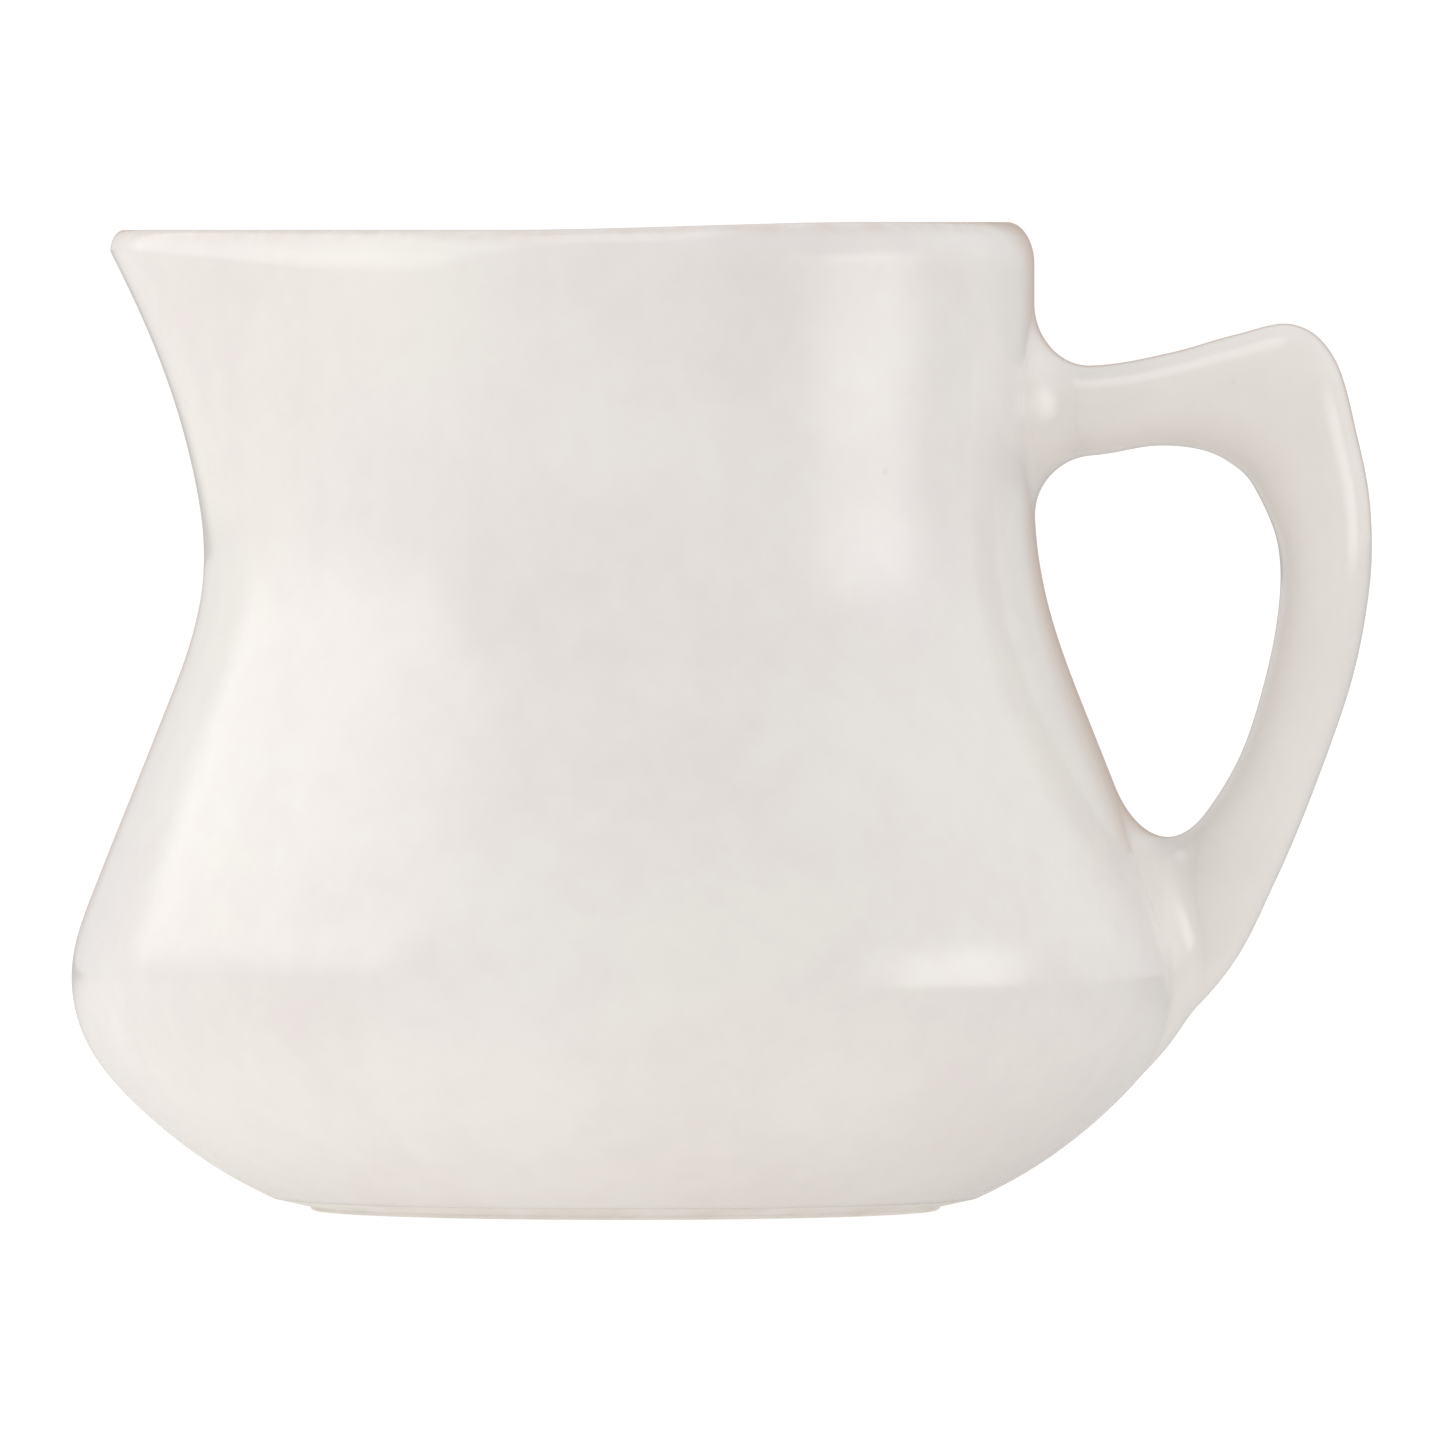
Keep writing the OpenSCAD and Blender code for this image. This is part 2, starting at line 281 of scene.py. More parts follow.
@dataclass(frozen=True)
class WallShape:
    """Outline of the vessel: arcs tangent to each other, a lean, and a spout pulled out of it."""

    rim_z: float = node_top("body").z
    belly_r: float = node_top("body").y
    foot_top_r: float = node_top("foot_ring").x
    foot_h: float = node_top("foot_ring").z
    belly_z: float = 23.2
    belly_curve_r: float = 14.7
    under_curve_r: float = 49.0
    taper: float = math.radians(21.7)
    waist_curve_r: float = 46.0
    neck_r: float = 41.2
    neck_lean: float = 0.3
    wall_t: float = 5.5
    floor_t: float = 6.0
    lip_h: float = 4.2
    heel: float = 7.0
    spout_reach: float = 11.5
    spout_drop: float = 38.0
    spout_half: float = math.radians(52.0)
    spout_dip: float = 0.8
    dip_from: float = math.radians(130.0)
    dip_to: float = math.radians(70.0)
    spout_tip_t: float = 2.8
    easing: float = 3.0

    @property
    def belly_centre(self) -> np.ndarray:
        """Centre of the curve around the belly, as radius and height."""
        return np.array([self.belly_r - self.belly_curve_r, self.belly_z])

    @property
    def under(self) -> float:
        """Angle at which the curve under the belly takes over, so that it ends on the foot ring.

        Returns:
            The angle from level, in radians, by the law of cosines.
        """
        foot = np.array([self.foot_top_r, self.foot_h]) - self.belly_centre
        gap = self.under_curve_r - self.belly_curve_r
        along = (self.under_curve_r**2 - gap**2 - foot @ foot) / (2 * gap)
        return math.atan2(foot[1], foot[0]) + math.acos(along / np.linalg.norm(foot))

    @property
    def under_centre(self) -> np.ndarray:
        """Centre of the flatter curve under the belly."""
        turn = np.array([math.cos(self.under), math.sin(self.under)])
        return self.belly_centre - (self.under_curve_r - self.belly_curve_r) * turn

    @property
    def side_start(self) -> np.ndarray:
        """Point where the belly's curve ends in the straight side."""
        turn = np.array([math.cos(self.taper), math.sin(self.taper)])
        return self.belly_centre + self.belly_curve_r * turn

    @property
    def waist_z(self) -> float:
        """Height at which the hollow curve of the waist ends in the upright neck.

        Returns:
            The height, where the side, taken up in a straight line, would reach the hollow curve.
        """
        inner = self.neck_r + self.waist_curve_r * (1 - math.cos(self.taper))
        side = self.side_start
        return side[1] + (side[0] - inner) / math.tan(self.taper) + self.waist_curve_r * math.sin(self.taper)

    @property
    def waist_low_z(self) -> float:
        """Height at which the hollow curve of the waist starts."""
        return self.waist_z - self.waist_curve_r * math.sin(self.taper)

    @property
    def floor_z(self) -> float:
        """Height of the floor inside."""
        return self.foot_h + self.floor_t

    def side_radius(self, z: np.ndarray, depth: float | np.ndarray = 0.0) -> np.ndarray:
        """Radius of the wall with its outline's joins eased, as hands and a sponge leave them.

        Args:
            z: Heights.
            depth: How far under the outer surface, measured square to it.

        Returns:
            Mean of the drafted radii at, above and below each height, one for each height.
        """
        gap = self.easing * rise(np.asarray(z, float), self.foot_h, self.foot_h + 10)
        ends = self.drafted_radius(z - gap, depth) + self.drafted_radius(z + gap, depth)
        return (ends + 2 * self.drafted_radius(z, depth)) / 4

    def drafted_radius(self, z: np.ndarray, depth: float | np.ndarray = 0.0) -> np.ndarray:
        """Radius of the wall at a height: arc, arc, straight side, hollow arc and upright neck.

        Args:
            z: Heights.
            depth: How far under the outer surface, measured square to it.

        Returns:
            Radii, one for each height.
        """
        z, depth = np.broadcast_arrays(np.asarray(z, float), np.asarray(depth, float))
        under_c, belly_c, side = self.under_centre, self.belly_centre, self.side_start
        low_r, belly_r = self.under_curve_r - depth, self.belly_curve_r - depth
        hollow_r = self.waist_curve_r + depth
        low = under_c[0] + np.sqrt(np.maximum(low_r**2 - (z - under_c[1]) ** 2, 0))
        belly = belly_c[0] + np.sqrt(np.maximum(belly_r**2 - (z - belly_c[1]) ** 2, 0))
        drawn_in = (z - side[1] + depth * math.sin(self.taper)) * math.tan(self.taper)
        straight = side[0] - depth * math.cos(self.taper) - drawn_in
        hollow = self.neck_r + self.waist_curve_r
        hollow = hollow - np.sqrt(np.maximum(hollow_r**2 - (self.waist_z - z) ** 2, 0))
        ends = [
            z < self.belly_z + belly_r * math.sin(self.under),
            z < self.belly_z + belly_r * math.sin(self.taper),
            z < self.waist_z - hollow_r * math.sin(self.taper),
            z < self.waist_z,
        ]
        return np.select(ends, [low, belly, straight, hollow], self.neck_r - depth)

    def lean(self, z: np.ndarray) -> np.ndarray:
        """How far the neck stands towards the spout at a height."""
        return self.neck_lean * rise(z, self.waist_low_z, self.waist_z)

    def spout_share(self, z: np.ndarray) -> np.ndarray:
        """Share of the spout's height reached: 0 where it starts, 1 at the lip."""
        return np.clip((z - self.rim_z + self.spout_drop) / self.spout_drop, 0, 1)

    def spout_round(self, angle: np.ndarray, z: np.ndarray) -> np.ndarray:
        """Fullness of the spout around it: a raised cosine, narrower lower down.

        Args:
            angle: Angle around the axis.
            z: Height.

        Returns:
            Fullness from 0 beside the spout to 1 along its middle.
        """
        half = self.spout_half * (0.62 + 0.38 * self.spout_share(z))
        share = np.clip(np.abs(math.pi - angle) / half, 0, 1)
        return (0.5 + 0.5 * np.cos(math.pi * share)) ** 1.15

    def spout_out(self, angle: np.ndarray, z: np.ndarray) -> np.ndarray:
        """How far the spout stands out of the round wall."""
        return self.spout_reach * self.spout_share(z) ** 1.75 * self.spout_round(angle, z)

    def lip_z(self, angle: np.ndarray) -> np.ndarray:
        """Height of the lip, which dips towards the spout."""
        return self.rim_z - self.spout_dip * rise(np.abs(math.pi - angle), self.dip_from, self.dip_to)

    def wall_at(self, angle: np.ndarray, z: np.ndarray) -> np.ndarray:
        """Thickness of the wall, which thins towards the spout's tip."""
        thinning = (self.wall_t - self.spout_tip_t) * self.spout_share(z) * self.spout_round(angle, z)
        return self.wall_t - thinning

    def lip_height(self, angle: np.ndarray) -> np.ndarray:
        """Height of the rounding over the lip."""
        return self.lip_h * self.wall_at(angle, np.full_like(angle, self.rim_z)) / self.wall_t

    def point(self, angle: np.ndarray, z: np.ndarray, depth: float | np.ndarray = 0.0) -> np.ndarray:
        """A point of the wall.

        Args:
            angle: Angle around the axis, 0 at the handle and half a turn at the spout.
            z: Height.
            depth: How far under the outer surface.

        Returns:
            Points with three coordinates in a last axis.
        """
        radius = self.side_radius(z, depth) + self.spout_out(angle, z)
        z = np.broadcast_to(z, radius.shape)
        return np.stack([radius * np.cos(angle) - self.lean(z), radius * np.sin(angle), z], axis=-1)

    def wall_x(self, y: np.ndarray, z: np.ndarray) -> np.ndarray:
        """How far out the wall is on the handle's side, at a place across it and a height."""
        return np.sqrt(self.side_radius(z) ** 2 - y**2) - self.lean(z)

    def on_wall(self, points: np.ndarray) -> np.ndarray:
        """Points moved along X onto the wall on the handle's side."""
        y, z = points[..., 1], points[..., 2]
        return np.stack([self.wall_x(y, z), y, z], axis=-1)

    def wall_normal(self, points: np.ndarray) -> np.ndarray:
        """Outward normal of the wall on the handle's side, from small differences.

        Args:
            points: Points near the wall, of which only y and z are used.

        Returns:
            Normals of length 1, one for each point.
        """
        y, z, gap = points[..., 1], points[..., 2], 0.001
        across = (self.wall_x(y - gap, z) - self.wall_x(y + gap, z)) / (2 * gap)
        up = (self.wall_x(y, z - gap) - self.wall_x(y, z + gap)) / (2 * gap)
        return unit(np.stack([np.ones_like(y), across, up], axis=-1))


# ---------------------------------------------------------------- the vessel


@dataclass
class Vessel:
    """The pitcher's body: floor, wall, rounded lip and pulled spout, one closed skin."""

    shape: WallShape
    around: int = 288
    outside_rows: int = 150
    lip_rows: int = 26
    inside_rows: int = 84
    heel_rows: int = 14
    floor_rows: int = 8
    waviness: float = 0.07
    near_handle: tuple[float, float] = (0.3, 0.9)

    def angles(self) -> np.ndarray:
        """Angles around the axis, as one row of the grid."""
        return np.arange(self.around)[None, :] * (2 * math.pi / self.around)

    def hand_finish(self, angle: np.ndarray, z: np.ndarray) -> np.ndarray:
        """Slight unevenness of a surface fettled by hand: a sum of long waves around and up the wall.

        Args:
            angle: Angles around the axis.
            z: Heights.

        Returns:
            Radial change, which fades out at the foot, at the lip and around the handle.
        """
        broad = np.sin(2 * angle + 0.045 * z + 0.6) + 0.8 * np.sin(3 * angle - 0.07 * z + 2.1)
        patch = 0.6 * np.sin(5 * angle + 0.16 * z + 1.3) + 0.5 * np.sin(7 * angle - 0.21 * z)
        bands = 0.12 * np.sin(0.52 * z + 0.7 * np.sin(2 * angle + 1.0))
        calm = rise(z, self.shape.foot_h, 12) * rise(z, self.shape.rim_z - 1, self.shape.rim_z - 12)
        clear = rise(math.pi - np.abs(math.pi - angle), *self.near_handle)
        return self.waviness * (broad + patch + bands) * calm * clear

    def outside(self, angle: np.ndarray) -> np.ndarray:
        """Grid up the outside, closer together where the outline turns.

        Args:
            angle: Angles around the axis, as one row.

        Returns:
            Points in rows from the foot up to the lip.
        """
        top = self.shape.rim_z - self.shape.lip_h
        share = np.linspace(0, 1, self.outside_rows)[:, None]
        z = self.shape.foot_h + (top - self.shape.foot_h) * (0.8 * share + 0.2 * share**2)
        z = self.with_dip(angle, z)
        points = self.shape.point(angle, z)
        finish = self.hand_finish(angle, z)
        points[..., 0] += finish * np.cos(angle)
        points[..., 1] += finish * np.sin(angle)
        return points

    def with_dip(self, angle: np.ndarray, z: np.ndarray) -> np.ndarray:
        """Heights that follow the lip's dip at the spout, more the nearer they are to it.

        Args:
            angle: Angles around the axis.
            z: Heights before the dip.

        Returns:
            Heights after it.
        """
        shape = self.shape
        top = shape.rim_z - shape.lip_h
        change = shape.lip_z(angle) - shape.lip_height(angle) - top
        return z + change * rise(z, shape.rim_z - shape.spout_drop, top)

    def lip(self, angle: np.ndarray) -> np.ndarray:
        """Grid over the lip: half an ellipse across the wall.

        Args:
            angle: Angles around the axis, as one row.

        Returns:
            Points in rows from the outside to the inside.
        """
        shape = self.shape
        turn = np.linspace(0, math.pi, self.lip_rows + 2)[1:-1, None]
        base = shape.lip_z(angle) - shape.lip_height(angle)
        thick = shape.wall_at(angle, np.full_like(angle, shape.rim_z))
        points = shape.point(angle, base, thick * (1 - np.cos(turn)) / 2)
        points[..., 2] += shape.lip_height(angle) * np.sin(turn)
        return points

    def inside(self, angle: np.ndarray) -> np.ndarray:
        """Grid down the inside, a wall's thickness under the outside.

        Args:
            angle: Angles around the axis, as one row.

        Returns:
            Points in rows from the lip down to the corner above the floor.
        """
        top = self.shape.rim_z - self.shape.lip_h
        share = np.linspace(0, 1, self.inside_rows)[:, None]
        z = self.with_dip(angle, top + (self.shape.floor_z + self.shape.heel - top) * share)
        return self.shape.point(angle, z, self.shape.wall_at(angle, z))

    def floor(self, angle: np.ndarray) -> np.ndarray:
        """Grid round the corner inside the floor, then in rings towards the middle.

        Args:
            angle: Angles around the axis, as one row.

        Returns:
            Points in rows from the corner to the last ring of the floor.
        """
        shape = self.shape
        high, gap = shape.floor_z + shape.heel, 0.001
        start = np.array([shape.side_radius(high, shape.wall_t), high])
        slope = (start[0] - shape.side_radius(high - gap, shape.wall_t)) / gap
        corner = np.array([start[0] - shape.heel * slope, shape.floor_z])
        end = np.array([shape.side_radius(shape.floor_z, shape.wall_t) - shape.heel, shape.floor_z])
        curve = bend(start, corner, end, np.linspace(0, 1, self.heel_rows + 1)[1:, None])
        flat = end[0] * np.linspace(1, 0.08, self.floor_rows)[1:]
        radius = np.concatenate([curve[:, 0], flat])[:, None]
        height = np.concatenate([curve[:, 1], np.full(len(flat), shape.floor_z)])[:, None]
        return carried_round(radius, height, angle)

    def underside(self, angle: np.ndarray) -> np.ndarray:
        """Rings under the floor, from near the middle out to the foot.

        Args:
            angle: Angles around the axis, as one row.

        Returns:
            Points in rows, all at the height of the ring's top.
        """
        radius = self.shape.foot_top_r * np.linspace(0.08, 0.97, self.floor_rows)[:, None]
        height = np.full_like(radius, self.shape.foot_h)
        return carried_round(radius, height, angle)

    def thin_glaze(self, points: np.ndarray) -> np.ndarray:
        """Where glaze runs thin, over the lip's crest.

        Args:
            points: Points of the skin.

        Returns:
            Share of the glaze that may be missing at each of them.
        """
        x, y, z = points[..., 0], points[..., 1], points[..., 2]
        crest = self.shape.lip_z(np.arctan2(y, x) % (2 * math.pi))
        return rise(z, crest - 1.6, crest - 0.1)

    def surface(self) -> Surface:
        """The whole skin, from the middle underneath to the middle of the floor inside.

        Returns:
            The closed surface, with its mask of thin glaze.
        """
        angle = self.angles()
        parts = [self.underside, self.outside, self.lip, self.inside, self.floor]
        grid = np.concatenate([part(angle) for part in parts])
        rows, columns = grid.shape[:2]
        ends = np.array([[0, 0, self.shape.foot_h], [0, 0, self.shape.floor_z]])
        points = np.concatenate([grid.reshape(-1, 3), ends])
        masks = {"thin": self.thin_glaze(points)}
        fans = end_fans(rows * columns, columns)
        return Surface("pitcher_body", points, strip_quads(rows, columns), fans, masks)


@dataclass
class FootRing:
    """The turned ring of bare clay that the pitcher stands on."""

    shape: WallShape
    around: int = 288
    foot_r: float = 31.5
    width: float = 5.0
    edge_r: float = 0.4
    edge_rows: int = 7
    side_rows: int = 8

    def outline(self) -> np.ndarray:
        """Section: up the flared outside, across the top, down the inside, with two worn edges.

        Returns:
            Radius and height of each point of the section, once around it.
        """
        turn = np.linspace(0, math.pi / 2, self.edge_rows)[:, None]
        worn = self.edge_r * np.concatenate([np.sin(turn), 1 - np.cos(turn)], axis=1)
        outer = worn + [self.foot_r - self.edge_r, 0]
        inner = worn * [-1, 1] + [self.foot_r - self.width + self.edge_r, 0]
        top = np.array([self.shape.foot_top_r, self.shape.foot_h])
        share = np.linspace(0, 1, self.side_rows)[1:, None]
        flare = outer[-1] + (top - outer[-1]) * share
        across = top + (np.array([inner[-1, 0], top[1]]) - top) * share
        return np.concatenate([outer, flare, across, inner[::-1]])

    def surface(self) -> Surface:
        """The outline carried once around the axis.

        Returns:
            The closed ring.
        """
        outline = self.outline()
        angle = np.arange(self.around)[None, :] * (2 * math.pi / self.around)
        radius, height = outline[:, :1], outline[:, 1:]
        grid = carried_round(radius, height, angle)
        rows, columns = grid.shape[:2]
        quads = strip_quads(rows, columns, ring_of_rows=True)
        return Surface("pitcher_foot_ring", grid.reshape(-1, 3), quads, sharp_deg=35.0)


# ---------------------------------------------------------------- the handle and its joins


class End(Enum):
    """The two ends of the handle."""

    UPPER = "upper"
    LOWER = "lower"


@dataclass(frozen=True)
class HandleShape:
    """Course and section of the loop handle, from inside the neck to inside the belly."""

    wall: WallShape
    reach: float = node_top("handle").x
    width: float = 2 * node_top("handle").y
    arm_drop: float = 19.0
    lower_end_z: float = 22.0
    arm_t: float = 8.8
    squareness: float = 2.4
    # Share of the way out from the wall, of the way up and of the arm's thickness, and slant
    course: tuple[tuple[float, float, float, float], ...] = (
        (-0.086, 1.002, 1.14, 90),
        (0.18, 1.003, 1.02, 90),
        (0.38, 1.022, 1.07, 81),
        (0.545, 1.034, 1.36, 74),
        (0.676, 1.031, 1.73, 66),
        (0.766, 0.986, 1.71, 57),
        (0.829, 0.884, 1.36, 43),
        (0.86, 0.795, 1.14, 24),
        (0.856, 0.69, 1.02, 4),
        (0.796, 0.549, 0.96, -12),
        (0.642, 0.379, 0.92, -22),
        (0.402, 0.233, 1.1, -34),
        (0.055, 0.1, 1.36, -43),
        (-0.375, -0.038, 1.5, -65),
    )

    @property
    def last(self) -> int:
        """Number of the last knot."""
        return len(self.course) - 1

    def knots(self) -> np.ndarray:
        """Knots of the course as x, z, thickness and slant, with one more beyond each end.

        Returns:
            A row for each knot.
        """
        shares = np.array(self.course)
        arm_z = self.wall.rim_z - self.arm_drop
        z = self.lower_end_z + shares[:, 1] * (arm_z - self.lower_end_z)
        wall = self.wall.wall_x(np.zeros_like(z), z)
        x = wall + shares[:, 0] * (self.reach - wall)
        knots = np.stack([x, z, shares[:, 2] * self.arm_t, np.radians(shares[:, 3])], axis=1)
        return np.concatenate([[2 * knots[0] - knots[1]], knots, [2 * knots[-1] - knots[-2]]])

    def middle(self, s: np.ndarray) -> np.ndarray:
        """Smooth curve through the knots, a cubic between each two of them.

        Args:
            s: How far along, counted in knots.

        Returns:
            x, z, thickness and slant in a last axis.
        """
        i = np.clip(np.floor(s), 0, self.last - 1).astype(int)
        t = (s - i)[..., None]
        knots = self.knots()
        a, b, c, d = knots[i], knots[i + 1], knots[i + 2], knots[i + 3]
        cubic = (3 * b - 3 * c + d - a) * t**3
        return (2 * b + (c - a) * t + (2 * a - 5 * b + 4 * c - d) * t**2 + cubic) / 2

    def full(self, value: np.ndarray) -> np.ndarray:
        """A sine or cosine filled out, which makes an ellipse squarer."""
        return np.sign(value) * np.abs(value) ** (2 / self.squareness)

    def point(self, turn: np.ndarray, s: np.ndarray) -> np.ndarray:
        """A point of the handle's skin: an oval section at the slant of its place on the course.

        Args:
            turn: Angle around the section, 0 on the outer side.
            s: How far along the middle line.

        Returns:
            Points with three coordinates in a last axis.
        """
        turn, s = np.broadcast_arrays(turn, s)
        x, z, thickness, slant = np.moveaxis(self.middle(s), -1, 0)
        off = thickness / 2 * self.full(np.cos(turn))
        across = -self.width / 2 * self.full(np.sin(turn))
        return np.stack([x + off * np.cos(slant), across, z + off * np.sin(slant)], axis=-1)

    def normal(self, turn: np.ndarray, s: np.ndarray) -> np.ndarray:
        """Outward normal of the handle's skin, from small differences.

        Args:
            turn: Angle around the section.
            s: How far along the middle line.

        Returns:
            Normals of length 1, one for each place.
        """
        gap = 0.002
        around = self.point(turn + gap, s) - self.point(turn - gap, s)
        along = self.point(turn, s + gap) - self.point(turn, s - gap)
        normal = unit(np.cross(around, along))
        outward = self.point(turn, s) - self.point(np.array([0, math.pi]), s[:, None]).mean(axis=1)
        return normal * np.sign((normal * outward).sum(axis=-1, keepdims=True))

    def meets_wall(self, turn: np.ndarray, end: End) -> np.ndarray:
        """Where each line along the handle meets the wall, by halving.

        Args:
            turn: Angles around the section.
            end: Which end of the handle.

        Returns:
            How far along the middle line each one meets it.
        """
        upper = end is End.UPPER
        inside = np.full_like(turn, 0.0 if upper else self.last)
        clear = np.full_like(turn, 1.0 if upper else self.last - 2.0)
        for _ in range(24):
            half = (inside + clear) / 2
            points = self.point(turn, half)
            out = points[..., 0] > self.wall.wall_x(points[..., 1], points[..., 2])
            clear, inside = np.where(out, half, clear), np.where(out, inside, half)
        return (inside + clear) / 2


@dataclass
class Handle:
    """The loop handle, whose ends lie against the wall."""

    shape: HandleShape
    sides: int = 96
    rings: int = 380
    end_rings: int = 4

    def ends(self, ring: np.ndarray) -> np.ndarray:
        """Rings shrunk towards the middle of an end and laid on the wall.

        Args:
            ring: Points around the end.

        Returns:
            Points in rows towards the middle.
        """
        middle = ring.mean(axis=0)
        share = np.linspace(1, 0.15, self.end_rings + 1)[1:, None, None]
        return self.shape.wall.on_wall(middle + share * (ring - middle))

    def surface(self) -> Surface:
        """Lines along the handle, each one from where it leaves the wall to where it meets it again.

        Returns:
            The closed surface.
        """
        turn = np.arange(self.sides) * (2 * math.pi / self.sides)
        start, stop = (self.shape.meets_wall(turn, end) for end in (End.UPPER, End.LOWER))
        quarter = self.sides // 4
        share = np.linspace(0, 1, self.rings)[:, None]
        near = np.clip(1 - share / 0.3, 0, 1) ** 2
        far = np.clip((share - 0.55) / 0.45, 0, 1) ** 2
        s = start[quarter] + (stop[quarter] - start[quarter]) * share
        s = s + (start - start[quarter]) * near + (stop - stop[quarter]) * far
        loop = self.shape.point(turn, s)
        grid = np.concatenate([self.ends(loop[0])[::-1], loop, self.ends(loop[-1])])
        rows, columns = grid.shape[:2]
        ends = self.shape.wall.on_wall(np.stack([loop[0].mean(axis=0), loop[-1].mean(axis=0)]))
        points = np.concatenate([grid.reshape(-1, 3), ends])
        fans = end_fans(rows * columns, columns)
        return Surface("pitcher_handle", points, strip_quads(rows, columns), fans)


@dataclass
class JoinSlip:
    """Slip sponged to a hollow fillet around one end of the handle."""

    shape: HandleShape
    end: End
    end_reach: float
    side_reach: float = 4.5
    proud: float = 0.3
    sections: int = 240
    face_rows: int = 28
    hidden_rows: int = 6
    tuck: float = 0.006

    def reach(self, turn: np.ndarray) -> np.ndarray:
        """How far the fillet spreads: least at the sides, most above and below, or just in the crotch.

        Args:
            turn: Angles around the section.

        Returns:
            Distances up the wall and along the handle.
        """
        more = self.end_reach - self.side_reach
        along = np.cos(turn) ** 2 if self.end is End.UPPER else np.maximum(-np.cos(turn), 0) ** 2
        return self.side_reach + more * along

    def leaves_handle(self, turn: np.ndarray, s: np.ndarray) -> np.ndarray:
        """Where each line along the handle leaves the fillet.

        Args:
            turn: Angles around the section.
            s: How far along the middle line each line meets the wall.

        Returns:
            How far along the middle line each line leaves the fillet.
        """
        gap = 0.01 if self.end is End.UPPER else -0.01
        step = self.shape.point(turn, s + gap) - self.shape.point(turn, s)
        speed = np.linalg.norm(step, axis=1) / abs(gap)
        return s + np.sign(gap) * self.reach(turn) / speed

    def spread(self, corner: np.ndarray) -> np.ndarray:
        """Ways in which the fillet spreads up the wall, square to an ellipse around the handle's end.

        Args:
            corner: Points where the handle meets the wall.

        Returns:
            Directions of length 1 that keep to one x.
        """
        offset = corner - corner.mean(axis=0)
        away = offset / np.abs(offset).max(axis=0) ** 2
        away[:, 0] = 0
        return unit(away)

    def surface(self) -> Surface:
        """Sections around the end: a hollow face, a leg back along the handle, and a leg up the wall.

        Returns:
            The closed ring of slip, shaded as one with the wall and the handle along its edges.
        """
        wall = self.shape.wall
        turn = np.arange(self.sections) * (2 * math.pi / self.sections)
        s = self.shape.meets_wall(turn, self.end)
        corner, leaves = self.shape.point(turn, s), self.leaves_handle(turn, s)
        on_handle = self.shape.point(turn, leaves)
        away = self.spread(corner)
        on_wall = wall.on_wall(corner + self.reach(turn)[:, None] * away)
        opening = unit(wall.wall_normal(corner) + away)
        t = np.linspace(0, 1, self.face_rows)[:, None, None]
        wall_side, handle_side = wall.wall_normal(on_wall), self.shape.normal(turn, leaves)
        wall_leg = laid_on(corner - on_wall, wall_side)
        handle_leg = laid_on(corner - on_handle, handle_side)
        face = flowing(on_wall, wall_leg, on_handle, handle_leg, t)
        face = face + 16 * self.proud * (t * (1 - t)) ** 2 * opening
        face[0] -= self.tuck * wall_side
        back = np.linspace(0, 1, self.hidden_rows + 2)[1:-1, None, None]
        along = leaves + (s - leaves) * back[..., 0]
        along_handle = self.shape.point(turn, along) - self.tuck * handle_side
        up_wall = wall.on_wall(corner + (on_wall - corner) * back) - self.tuck * wall.wall_normal(corner)
        grid = np.concatenate([face, along_handle, corner[None] - self.tuck * opening, up_wall])
        rows, columns = grid.shape[:2]
        normals = np.zeros_like(grid)
        normals[0], normals[self.face_rows - 1] = wall_side, handle_side
        name = f"pitcher_{self.end.value}_join"
        quads = strip_quads(rows, columns, ring_of_rows=True)
        return Surface(name, grid.reshape(-1, 3), quads, sharp_deg=50.0, normals=normals.reshape(-1, 3))


# ---------------------------------------------------------------- finishes


class Wiring:
    """Adds nodes to a tree and joins them, with few words."""

    def __init__(self, tree: bpy.types.NodeTree) -> None:
        """Keeps the tree that nodes are added to."""
        self.tree = tree

    def add(self, kind: str, settings: dict[str, Any] | None = None, **inputs: Any) -> bpy.types.Node:
        """Adds a node, sets its properties, and joins or sets its inputs.

        Args:
            kind: Node type without its ShaderNode prefix, or Group types in full.
            settings: Properties of the node.
            **inputs: Socket names with _ for spaces, or i and a socket's number, each with a socket
                to join or a value to set.

        Returns:
            The new node.
        """
        node = self.tree.nodes.new(kind if kind.startswith("Node") else f"ShaderNode{kind}")
        for key, value in (settings or {}).items():
            setattr(node, key, value)
        for key, value in inputs.items():
            by_number = key[0] == "i" and key[1:].isdigit()
            self.feed(node.inputs[int(key[1:]) if by_number else key.replace("_", " ")], value)
        return node

    def feed(self, socket: bpy.types.NodeSocket, value: Any) -> None:
        """Joins an input to another socket, or sets it to a value.

        Args:
            socket: The input.
            value: A socket to join it to, or a value.
        """
        if isinstance(value, bpy.types.NodeSocket):
            self.tree.links.new(value, socket)
        else:
            socket.default_value = value

    def maths(self, operation: str, *terms: Any) -> bpy.types.NodeSocket:
        """Adds a Math node over its terms and returns its result."""
        numbered = {f"i{n}": term for n, term in enumerate(terms)}
        return self.add("Math", {"operation": operation}, **numbered).outputs[0]

    def mix(self, share: Any, first: Any, second: Any) -> bpy.types.NodeSocket:
        """Adds a colour Mix node and returns its result."""
        return self.add("Mix", {"data_type": "RGBA"}, i0=share, i6=first, i7=second).outputs[2]


def group_tree(
    name: str, inputs: dict[str, tuple[str, Any]], outputs: dict[str, str]
) -> bpy.types.NodeTree:
    """Starts a shader node group with named sockets.

    Args:
        name: Name of the group.
        inputs: Socket names, each with its type and default.
        outputs: Socket names, each with its type.

    Returns:
        The new, empty group.
    """
    tree = bpy.data.node_groups.new(name, "ShaderNodeTree")
    for label, (kind, value) in inputs.items():
        tree.interface.new_socket(label, in_out="INPUT", socket_type=kind).default_value = value
    for label, kind in outputs.items():
        tree.interface.new_socket(label, in_out="OUTPUT", socket_type=kind)
    return tree


